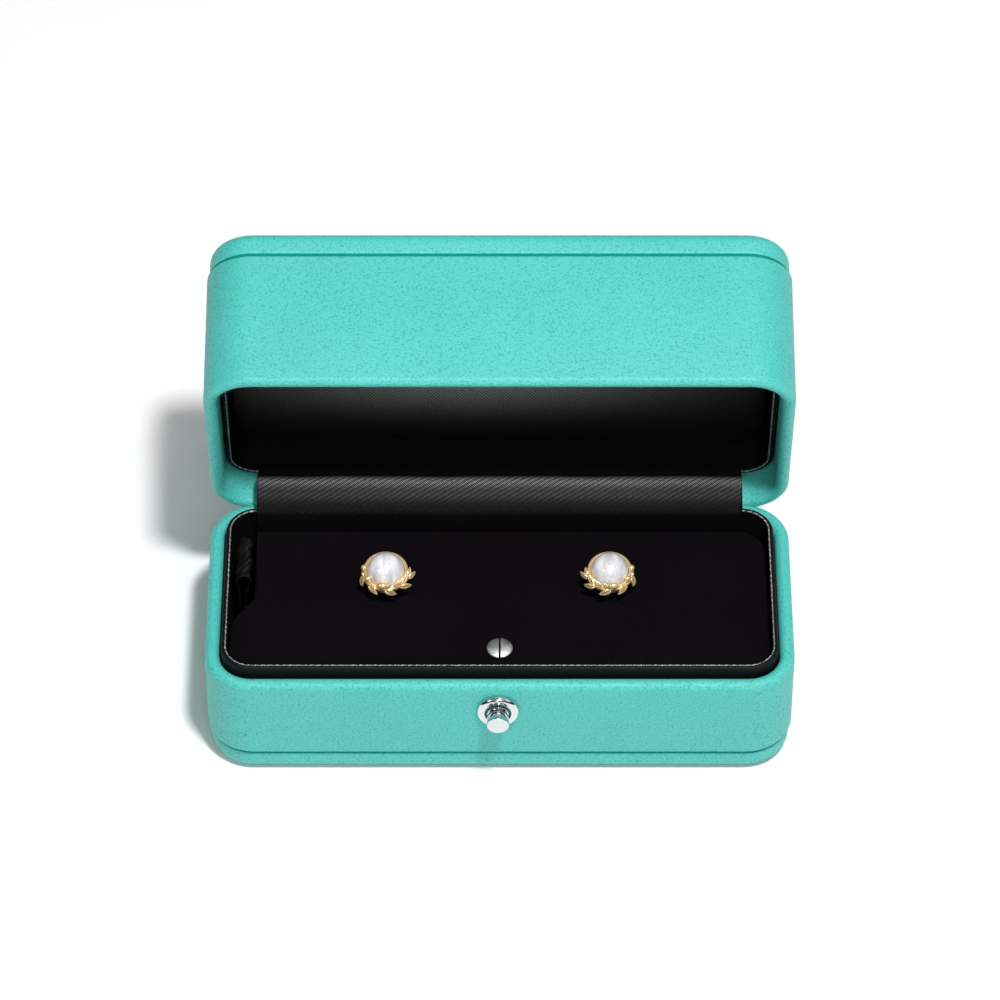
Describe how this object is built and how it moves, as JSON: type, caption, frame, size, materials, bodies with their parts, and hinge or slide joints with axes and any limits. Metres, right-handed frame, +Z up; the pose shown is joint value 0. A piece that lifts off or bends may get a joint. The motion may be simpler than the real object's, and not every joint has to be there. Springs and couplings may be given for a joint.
{
  "type": "pearl stud earrings in a hinged jewellery box",
  "caption": "Pearl stud earrings with gold leaf-wreath settings on the black pad of an open turquoise leather box with a hinged lid and push-button latch.",
  "frame": {"origin": "middle of the box's flat bottom face, on the surface it stands on", "axes": "+X along the box to its right, +Y from its latched front to its hinge, +Z up"},
  "size_m": [0.11, 0.084, 0.074],
  "materials": {
    "turquoise_leather": "fine pebbled grain, semi-matt",
    "black_leather": "smooth, semi-matt",
    "black_velour": "short matt pile",
    "black_satin": "satin weave with a soft sheen",
    "chrome": "polished",
    "gold": "polished yellow gold",
    "pearl": "white pearl lustre"
  },
  "bodies": {
    "base": {"base_wall": "turquoise_leather", "base_plate": "turquoise_leather", "base_collar": "black_leather", "base_pad": "black_velour", "pull_ribbon": "black_satin", "latch_escutcheon": "chrome", "latch_catch": "chrome", "left_setting": "gold", "left_pearl": "pearl", "right_setting": "gold", "right_pearl": "pearl", "hinge_cloth": "black_satin"},
    "lid": {"lid_wall": "turquoise_leather", "lid_plate": "turquoise_leather", "lid_liner": "black_leather", "lid_lining": "black_satin"},
    "button": {"latch_button": "chrome"}
  },
  "joints": [
    {"name": "lid_hinge", "type": "hinge", "parent": "base", "child": "lid", "pos_m": [0, 0.02176, 0.0226], "axis": [1, 0, 0], "range_deg": [0, 76.6], "deforming": ["hinge_cloth"]},
    {"name": "button_press", "type": "slide", "parent": "base", "child": "button", "axis": [0, 1, 0], "range_m": [0, 0.001], "stiffness_N_per_m": 800}
  ]
}
